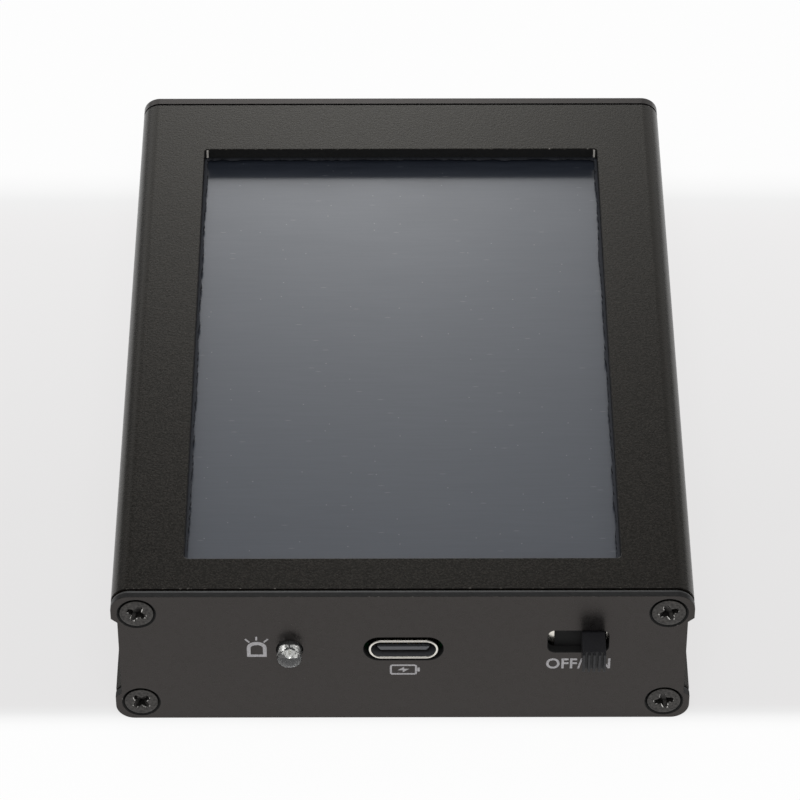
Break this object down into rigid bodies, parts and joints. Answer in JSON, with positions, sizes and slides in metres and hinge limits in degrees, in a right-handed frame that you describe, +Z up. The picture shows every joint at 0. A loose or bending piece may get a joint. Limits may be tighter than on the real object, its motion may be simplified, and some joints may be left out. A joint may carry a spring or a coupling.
{
  "type": "handheld spectrum analyzer",
  "caption": "Pocket radio spectrum analyzer in a split aluminium case, with a recessed touch screen, charging socket, status lamp, slide switch and threaded signal jacks.",
  "frame": {"origin": "centre of the case's flat bottom face, halfway along the extrusion and halfway across it", "axes": "+Z up through the screen, +Y away from the user towards the signal jacks, +X to the user's right"},
  "size_m": [0.0744, 0.115, 0.022],
  "materials": {
    "anodised_aluminium": "black anodised, bead blasted",
    "black_oxide_steel": "black oxide, satin",
    "nickel_plated_steel": "bright nickel",
    "gold_plated_brass": "gold plated, bright",
    "tinned_copper": "tinned",
    "black_plastic": "moulded, matt",
    "white_plastic": "moulded",
    "ptfe": "turned",
    "clear_epoxy": "clear cast",
    "closed_cell_foam": "die-cut foam",
    "touch_glass": "glossy film on glass",
    "lcd_glass": "polarising film",
    "stamped_steel": "stamped sheet",
    "polyimide_film": "amber film",
    "glass_epoxy_board": "solder mask",
    "moulded_chip_epoxy": "moulded",
    "ferrite": "sintered",
    "aluminium_laminate_pouch": "laminate film",
    "red_pvc": "extruded",
    "black_pvc": "extruded"
  },
  "bodies": {
    "case": {"top_cover": "anodised_aluminium", "bottom_cover": "anodised_aluminium", "front_plate": "anodised_aluminium", "rear_plate": "anodised_aluminium", "front_screw_lower_left": "black_oxide_steel", "front_screw_lower_right": "black_oxide_steel", "front_screw_upper_left": "black_oxide_steel", "front_screw_upper_right": "black_oxide_steel", "rear_screw_lower_left": "black_oxide_steel", "rear_screw_lower_right": "black_oxide_steel", "rear_screw_upper_left": "black_oxide_steel", "rear_screw_upper_right": "black_oxide_steel", "window_gasket": "closed_cell_foam", "touch_panel": "touch_glass", "lcd_panel": "lcd_glass", "backlight_tray": "stamped_steel", "display_flex": "polyimide_film", "display_connector": "white_plastic", "display_strip_left": "closed_cell_foam", "display_strip_right": "closed_cell_foam", "main_board": "glass_epoxy_board", "shield_fence": "nickel_plated_steel", "shield_lid": "nickel_plated_steel", "mixer_chip": "moulded_chip_epoxy", "synthesizer_chip": "moulded_chip_epoxy", "reference_oscillator": "nickel_plated_steel", "processor_chip": "moulded_chip_epoxy", "memory_chip": "moulded_chip_epoxy", "charger_chip": "moulded_chip_epoxy", "power_inductor": "ferrite", "battery": "aluminium_laminate_pouch", "battery_pad": "closed_cell_foam", "battery_plug": "white_plastic", "battery_lead_red": "red_pvc", "battery_lead_black": "black_pvc", "socket_shell": "nickel_plated_steel", "socket_tongue": "black_plastic", "status_lamp": "clear_epoxy", "lamp_leg_left": "tinned_copper", "lamp_leg_right": "tinned_copper", "switch_frame": "nickel_plated_steel", "switch_base": "black_plastic", "switch_pin_1": "tinned_copper", "switch_pin_2": "tinned_copper", "switch_pin_3": "tinned_copper", "jack_body_left": "gold_plated_brass", "jack_body_right": "gold_plated_brass", "jack_insulator_left": "ptfe", "jack_insulator_right": "ptfe", "jack_contact_left": "gold_plated_brass", "jack_contact_right": "gold_plated_brass", "jack_washer_left": "gold_plated_brass", "jack_washer_right": "gold_plated_brass", "jack_nut_left": "gold_plated_brass", "jack_nut_right": "gold_plated_brass"},
    "switch": {"switch_lever": "black_plastic"}
  },
  "joints": [
    {"name": "switch_slide", "type": "slide", "parent": "case", "child": "switch", "axis": [1, 0, 0], "range_m": [-0.0032, 0]}
  ]
}
